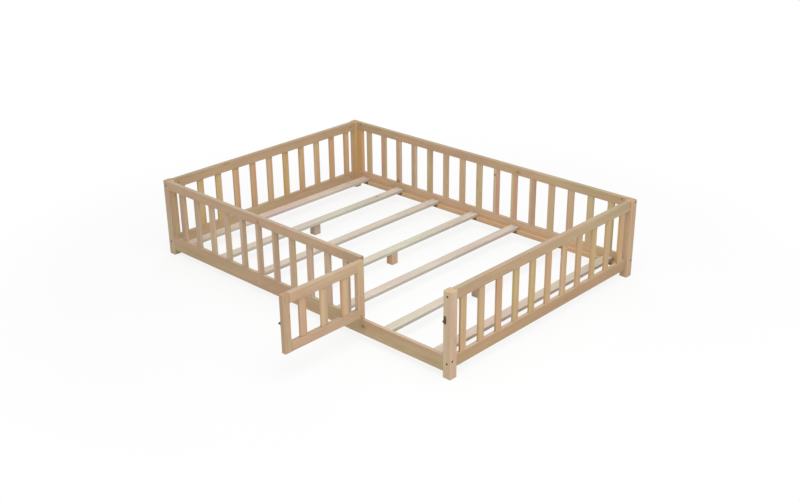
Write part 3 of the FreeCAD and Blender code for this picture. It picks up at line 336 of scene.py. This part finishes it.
def late_wood(t, given, push, bend):
    """Share of late wood in the growth rings. They go round a pith that lies outside the board
    and not quite along it."""
    x, y, z = t.parts(given["Place"])
    first, second, third = t.parts(t.chance(given["Seed"]))
    _, bend_y, bend_z = t.parts(bend)
    side = t.maths("SIGN", t.maths("SUBTRACT", second, 0.5))
    depth = t.maths("MULTIPLY", side, t.scaled(first, *PITH_DEPTH))
    lean_y = t.maths("MULTIPLY", x, t.scaled(third, *LEAN_SIDE))
    lean_z = t.maths("MULTIPLY", x, t.scaled(second, *LEAN_DEPTH))
    off_y = t.maths("ADD", t.scaled(third, *PITH_SIDE), t.maths("ADD", lean_y, bend_y))
    off_z = t.maths("ADD", depth, t.maths("ADD", lean_z, bend_z))
    radius = t.vectors("LENGTH", t.join(0, t.maths("ADD", y, off_y), t.maths("ADD", z, off_z)))
    years = t.maths("DIVIDE", t.maths("ADD", radius, push), t.scaled(first, *RING_WIDTH))
    year = t.maths("FRACT", years)
    vigour, _, _ = t.parts(t.chance(t.maths("ADD", t.maths("FLOOR", years), given["Seed"])))
    late = t.maths("MULTIPLY", t.smooth(year, *RING_DARKENS), t.smooth(year, *RING_ENDS))
    return t.maths("MULTIPLY", late, t.scaled(vigour, *RING_VIGOUR))


def edge_nearness(t, given):
    """1 at the board's edges, 0 from a short way in."""
    gaps = t.vectors("SUBTRACT", given["Half"], t.vectors("ABSOLUTE", given["Place"]))
    gap_x, gap_y, gap_z = t.parts(gaps)
    inner = t.maths("MAXIMUM", gap_y, gap_z)
    nearest = t.maths("MAXIMUM", t.maths("MINIMUM", gap_y, gap_z), t.maths("MINIMUM", inner, gap_x))
    return t.smooth(nearest, EDGE_REACH, 0.0)


def pine_group():
    """Wood of one board. Place is a point of the board, with x along the grain, y across and z
    through, from its middle. End is 1 on end grain. Where a face gets painted light and shade, the painted
    light share is 1 and the painted light tint is its colour.
    Knots is the share of the knots that are there. Own Knot is one more, at a chosen place."""
    group = bpy.data.node_groups.new("pine", "ShaderNodeTree")
    for name, kind in PINE_INPUTS:
        group.interface.new_socket(name, in_out="INPUT", socket_type=f"NodeSocket{kind}")
    for name, kind in PINE_OUTPUTS:
        group.interface.new_socket(name, in_out="OUTPUT", socket_type=f"NodeSocket{kind}")
    t = Tree(group)
    given = t.node("NodeGroupInput").outputs
    seed = given["Seed"]
    shift = t.vectors("MULTIPLY", t.join(seed, seed, seed), SEED_SHIFT)

    def pattern(along, across, detail, roughness, output="Fac"):
        """Noise that is drawn out along the grain, from the board's own part of a pattern."""
        stretched = t.vectors("MULTIPLY", given["Place"], (along, across, across))
        return t.noise(t.vectors("ADD", stretched, shift), detail, roughness, output=output)

    ratio = knot_ratio(t, given, shift)
    core = t.smooth(ratio, *KNOT_CORE)
    halo = t.smooth(ratio, *KNOT_HALO)
    push = t.maths("MULTIPLY", t.smooth(ratio, *KNOT_SWERVE), SWERVE)
    bend = t.vectors("SUBTRACT", pattern(*WANDER, "Color"), (0.5, 0.5, 0.5))
    late = late_wood(t, given, push, t.vectors("MULTIPLY", bend, (0, SWAY, SWAY)))
    fibre = pattern(*FIBRE)

    share = t.scaled(late, LATE_SHARE, t.scaled(pattern(*STREAK), *STREAK_SHARE))
    share = t.maths("ADD", share, t.scaled(fibre, *FIBRE_SHARE))
    share = t.maths("ADD", share, t.maths("MULTIPLY", halo, HALO_SHARE))
    share = t.maths("MINIMUM", t.maths("MAXIMUM", share, 0), 1)
    colour = t.mix(share, given["Early"], given["Late"])
    colour = t.tinted(colour, t.mix(t.smooth(pattern(*DRIFT), *DRIFT_LEVELS), REDDER, GREENER))
    fleck = t.maths("MULTIPLY", t.smooth(pattern(*FLECK), *FLECK_LEVELS), FLECK_DARK)
    colour = t.dimmed(colour, t.maths("SUBTRACT", t.scaled(pattern(*PATCH), *PATCH_LIGHT), fleck))
    colour = t.tinted(colour, given["Tint"])
    # painted light and shade: some faces take a tint, by the share given for them
    colour = t.mix(given["Painted Light"], colour, t.tinted(colour, given["Painted Light Tint"]))
    knot_ring = t.maths("SINE", t.maths("MULTIPLY", ratio, KNOT_RINGS))
    knot = t.mix(t.scaled(knot_ring, *KNOT_RING_LIGHT), KNOT_COLOUR, given["Late"])
    colour = t.mix(t.maths("MULTIPLY", core, KNOT_COVER), colour, knot)

    # end grain is darker and drinks the light, edges are sanded a little paler
    pores = t.noise(given["Place"], *PORES)
    red = t.scaled(pores, *END_LIGHT)
    end_tint = t.join(red, t.maths("MULTIPLY", red, END_GREEN), t.maths("MULTIPLY", red, END_BLUE))
    colour = t.mix(given["End"], colour, t.tinted(colour, end_tint))
    rub = t.smooth(pattern(*RUB), *RUB_LEVELS, LEAST_RUB, 1.0)
    worn = t.maths("MULTIPLY", edge_nearness(t, given), rub)
    colour = t.mix(t.maths("MULTIPLY", worn, WORN_SHARE), colour, t.tinted(colour, WORN))

    rough = t.scaled(fibre, *FIBRE_ROUGHNESS)
    rough = t.maths("ADD", rough, t.maths("MULTIPLY", late, LATE_ROUGHNESS))
    rough = t.maths("ADD", rough, t.maths("MULTIPLY", given["End"], END_ROUGHNESS))
    height = t.scaled(fibre, FIBRE_RELIEF, t.maths("MULTIPLY", late, LATE_RELIEF))
    height = t.maths("SUBTRACT", height, t.maths("MULTIPLY", core, KNOT_RELIEF))
    height = t.scaled(t.maths("MULTIPLY", pores, given["End"]), PORE_RELIEF, height)
    output = t.node("NodeGroupOutput")
    t.put(output.inputs["Color"], colour)
    t.put(output.inputs["Roughness"], rough)
    t.put(output.inputs["Normal"], t.bump(height, RELIEF_STRENGTH, RELIEF_DEPTH))
    return group


TINTS = {
    "plain": (1.0, 1.0, 1.0),
    "rosy": (1.0, 0.92, 0.94),
    "olive": (0.96, 1.04, 0.93),
    "honey": (0.97, 0.93, 0.74),
    "gold": (1.12, 1.05, 0.88),
    "pale": (1.05, 1.09, 1.20),
    "deep": (0.88, 0.87, 0.88),
    "ashen": (0.98, 1.02, 1.14),
    "drab": (0.91, 0.96, 1.02),
    "dim": (0.85, 0.90, 0.95),
    "cool": (0.95, 0.975, 0.985),
    "grey": (0.90, 1.10, 1.45),
}
SHADED_TOPS = (0.77, 0.83, 0.91, 1)  # painted shade: tint that darkens the rails' upper faces
LIT_TOPS = (0.99, 1.09, 1.27, 1)  # painted light: tint that makes these rails' upper faces paler and bluer
# bottom rails whose upper faces take the painted light instead of the painted shade
LIT_TOPPED = ("front_bottom_rail", "foot_bottom_rail")
SHADED_SIDES = (0.90, 0.925, 0.97, 1)  # painted shade: tint that darkens the slats' sides
SHADE_UNDER_SLATS = (0.41, 0.35, 0.25, 1)  # painted shade: tint of the ledges close under the slats' edges, where the slats shade them
SLAT_SHADE_WIDTH = 0.020
SLAT_SHADE_LEVELS = (0.75, 0.45)  # distance from the painted shade's middle, in its widths
FACING = (0.6, 0.95)  # levels of a direction's share in a face's normal
END_FACING = (0.75, 0.95)
PINES = {  # early wood, late wood and how many knots, for each wooden finish
    "pine_frame": ((0.60, 0.43, 0.265, 1), (0.47, 0.29, 0.15, 1), 0.13),
    "pine_post": ((0.61, 0.46, 0.305, 1), (0.49, 0.317, 0.175, 1), 0.08),
    "pine_baluster": ((0.61, 0.435, 0.265, 1), (0.48, 0.295, 0.15, 1), 0.07),
    "pine_slat": ((0.625, 0.575, 0.50, 1), (0.52, 0.435, 0.345, 1), 0.20),
    "beech_dowel": ((0.62, 0.46, 0.32, 1), (0.52, 0.36, 0.23, 1), 0.0),
}
CASTS = {  # rows whose bars all lean to grey
    "back_balusters": (0.99, 1.03, 1.17),
    "fence_balusters": (0.98, 1.05, 1.20),
}
OWN_KNOTS = {  # one larger knot of a board: its place in the model's frame and its radius
    "front_bottom_rail": ((0.471, -0.707, 0.073), 0.009),
    "gate_hinge_stile": ((0.496, -0.741, 0.145), 0.004),
    "back_balusters": ((-0.614, 0.690, 0.119), 0.005),
    "back_top_rail": ((0.272, 0.688, 0.392), 0.006),
    "back_slat_ledge": ((0.90, 0.669, 0.055), 0.006),
}
ROWS = {  # rows of upright bars: the axis they stand along
    "back_balusters": 0, "fence_balusters": 0, "head_balusters": 1, "foot_balusters": 1, "gate_balusters": 1,
}
ROW_GAP = 0.03  # least clear space between two bars of a row
BAR_SEED = 1.37  # step from one bar's seed to the next one's


def row_of_bars(node, axis):
    """Centre of the first bar, pitch, count and width of a row of bars, from the node's mesh."""
    places = sorted({round(vertex.co[axis], 6) for vertex in NODES[node].data.vertices})
    starts = [places[0]] + [b for a, b in zip(places, places[1:]) if b - a > ROW_GAP]
    ends = [a for a, b in zip(places, places[1:]) if b - a > ROW_GAP] + [places[-1]]
    width = ends[0] - starts[0]
    pitch = (starts[-1] - starts[0]) / (len(starts) - 1)
    return starts[0] + width / 2, pitch, len(starts), width


def slat_shade(t, ledge, x):
    """Share of the painted shade on a ledge, under each slat's edge towards the foot end, where the slat
    shades it.
    """
    low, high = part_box(ledge)
    share = 0.0
    for slat in sorted(NODES):
        if FINISH[slat] == "pine_slat":
            corners = [vertex.co for vertex in NODES[slat].data.vertices]
            side = max(corner.x for corner in corners if low.y < corner.y < high.y)
            away = t.maths("ABSOLUTE", t.maths("SUBTRACT", x, side - SLAT_SHADE_WIDTH / 2))
            near = t.smooth(away, *[SLAT_SHADE_WIDTH * level for level in SLAT_SHADE_LEVELS])
            share = t.maths("MAXIMUM", share, near)
    return share


def painted_light_faces(t, node, place, facing, across):
    """Where a board gets painted light and shade, and its tint. Painted shade goes on the slats' sides and
    most rails' upper faces. Painted light goes on the upper faces of the front and foot bottom rails.
    Painted shade goes on the ledges under the slats' edges.
    """
    if FINISH[node] == "pine_slat":
        return t.smooth(t.maths("ABSOLUTE", facing[across]), *FACING), SHADED_SIDES
    if node.endswith("_rail"):
        return t.smooth(facing[2], *FACING), LIT_TOPS if node in LIT_TOPPED else SHADED_TOPS
    if node.endswith("_ledge"):
        return slat_shade(t, node, t.parts(place)[0]), SHADE_UNDER_SLATS
    return 0.0, None


def pine(node, seed, group, tints):
    """Pine for one node: a board, or a row of bars that are each a board of their own."""
    early, late, knots = PINES[FINISH[node]]
    cast = (*CASTS.get(node, TINTS["plain"]), 1)
    early = [share * shade for share, shade in zip(cast, early)]
    late = [share * shade for share, shade in zip(cast, late)]
    low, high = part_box(node)
    centre = (low + high) / 2
    half = (high - low) / 2
    material = bpy.data.materials.new(f"pine_{node}")
    material.use_nodes = True
    t = Tree(material.node_tree)
    shader = material.node_tree.nodes["Principled BSDF"]
    given = t.node("ShaderNodeTexCoord").outputs
    number = float(seed)
    tint = (*TINTS[tints[0]], 1)
    knot_place, knot_size = OWN_KNOTS.get(node, (centre, 0.0))
    knot = Vector(knot_place) - centre
    if node in ROWS:
        axis = ROWS[node]
        start, pitch, count, width = row_of_bars(node, axis)
        centre[axis] = start
        half[axis] = width / 2
        knotted = round((knot_place[axis] - start) / pitch)
        knot = Vector(knot_place) - centre
        knot[axis] -= knotted * pitch
        local = list(t.parts(t.vectors("SUBTRACT", given["Object"], centre)))
        bar = t.maths("ROUND", t.maths("DIVIDE", local[axis], pitch))
        local[axis] = t.maths("SUBTRACT", local[axis], t.maths("MULTIPLY", bar, pitch))
        number = t.scaled(bar, BAR_SEED, number)
        knot_size = t.maths("MULTIPLY", t.maths("COMPARE", bar, float(knotted), 0.5), knot_size)
        step = t.maths("DIVIDE", t.maths("ADD", bar, 0.5), float(count))
        tint = t.steps(step, [TINTS[tints[k % len(tints)]] for k in range(count)])
    else:
        local = t.parts(t.vectors("SUBTRACT", given["Object"], centre))
    order = sorted(range(3), key=lambda axis: -half[axis])
    facing = t.parts(given["Normal"])
    # painted light and shade on some faces of the board
    painted_share, painted_tint = painted_light_faces(t, node, given["Object"], facing, order[1])
    wood = t.node("ShaderNodeGroup", node_tree=group)
    for name, value in (
        ("Place", t.join(*[local[axis] for axis in order])),
        ("Half", [half[axis] for axis in order]),
        ("End", t.smooth(t.maths("ABSOLUTE", facing[order[0]]), *END_FACING)),
        ("Seed", number), ("Early", early), ("Late", late), ("Tint", tint), ("Knots", knots),
        ("Painted Light", painted_share), ("Painted Light Tint", painted_tint),
        ("Own Knot", [knot[axis] for axis in order]), ("Own Knot Size", knot_size),
    ):
        t.put(wood.inputs[name], value)
    shader.inputs["Specular IOR Level"].default_value = PINE_SPECULAR
    t.put(shader.inputs["Base Color"], wood.outputs["Color"])
    t.put(shader.inputs["Roughness"], wood.outputs["Roughness"])
    t.put(shader.inputs["Normal"], wood.outputs["Normal"])
    return material


# ---------------------------------------------------------------- metal

METALS = {  # clean and stained colour, least and most roughness, how metallic
    "zinc_steel": ((0.56, 0.56, 0.57, 1), (0.42, 0.41, 0.41, 1), (0.28, 0.62), 1.0),
    "dark_steel": ((0.10, 0.078, 0.052, 1), (0.155, 0.115, 0.072, 1), (0.36, 0.6), 0.5),
    "dark_steel_bolts": ((0.15, 0.062, 0.027, 1), (0.20, 0.09, 0.045, 1), (0.36, 0.6), 0.5),
}
OWN_METALS = {"post_bolts": "dark_steel_bolts"}  # nodes whose metal isn't that of their finish
CLOUD = (4, 0.6, 160)  # detail, roughness, waves in a metre
SKIN = (2, 0.6, 2600)
STAIN_LEVELS = (0.35, 0.7)
SKIN_LIGHT = (0.16, 0.92)
SKIN_STRENGTH = 0.2
SKIN_DEPTH = 0.0001


def metal(name, clean, stained, shine, metallic):
    """Metal with faint stains, brushed or sprayed unevenness and a fine skin."""
    material = bpy.data.materials.new(name)
    material.use_nodes = True
    t = Tree(material.node_tree)
    shader = material.node_tree.nodes["Principled BSDF"]
    place = t.node("ShaderNodeTexCoord").outputs["Object"]
    cloud = t.noise(place, *CLOUD)
    skin = t.noise(place, *SKIN)
    colour = t.mix(t.smooth(cloud, *STAIN_LEVELS), clean, stained)
    t.put(shader.inputs["Base Color"], t.dimmed(colour, t.scaled(skin, *SKIN_LIGHT)))
    shader.inputs["Metallic"].default_value = metallic
    low, high = shine
    t.put(shader.inputs["Roughness"], t.scaled(cloud, high - low, low))
    t.put(shader.inputs["Normal"], t.bump(skin, SKIN_STRENGTH, SKIN_DEPTH))
    return material


# ---------------------------------------------------------------- every node's finish

BOARD_TINTS = {  # head to foot, or front to back
    "head_balusters": (
        "plain", "honey", "olive", "rosy", "olive", "pale", "plain", "rosy", "plain", "rosy", "pale",
    ),
    "foot_balusters": (
        "plain", "pale", "plain", "plain", "rosy", "plain", "olive", "rosy", "olive", "honey", "plain",
    ),
    "fence_balusters": (
        "deep", "plain", "deep", "ashen", "olive", "pale", "pale", "olive", "pale", "deep", "pale",
    ),
    "back_balusters": (
        "olive", "pale", "rosy", "olive", "rosy", "pale", "deep", "pale", "olive", "deep", "plain",
        "plain", "olive", "rosy", "olive",
    ),
    "gate_balusters": ("ashen", "rosy", "pale"),
    "post_back_left": ("honey",),
    "post_front_right": ("pale",),
    "post_front_left": ("ashen",),
    "back_left_stile": ("gold",),
    "fence_left_stile": ("deep",),
    "fence_top_rail": ("ashen",),
    "front_bottom_rail": ("drab",),
    "head_top_rail": ("dim",),
    "head_bottom_rail": ("drab",),
    "foot_top_rail": ("drab",),
    "foot_bottom_rail": ("deep",),
    "front_slat_ledge": ("pale",),
    "back_top_rail": ("drab",),
    "back_bottom_rail": ("pale",),
    "centre_leg_1": ("grey",),
    "centre_leg_2": ("pale",),
    "centre_leg_3": ("grey",),
    "gate_top_rail": ("ashen",),
    "gate_bottom_rail": ("ashen",),
    "gate_latch_stile": ("drab",),
    "gate_hinge_stile": ("pale",),
    "slat_1": ("rosy",),
    "slat_2": ("cool",),
    "slat_3": ("cool",),
    "slat_4": ("cool",),
    "slat_5": ("cool",),
    "slat_6": ("cool",),
}


def finish_nodes():
    group = pine_group()
    metals = {name: metal(name, *look) for name, look in METALS.items()}
    for seed, node in enumerate(sorted(NODES), 1):
        finish = OWN_METALS.get(node, FINISH[node])
        if finish in metals:
            material = metals[finish]
        else:
            material = pine(node, seed, group, BOARD_TINTS.get(node, ("plain",)))
        for slot in NODES[node].material_slots:
            slot.material = material


look_through_camera()
white_world()
pale_floor()
for name, setting in LAMPS.items():
    soft_lamp(name, *setting)
finish_nodes()
bpy.context.scene.view_settings.view_transform = "Standard"
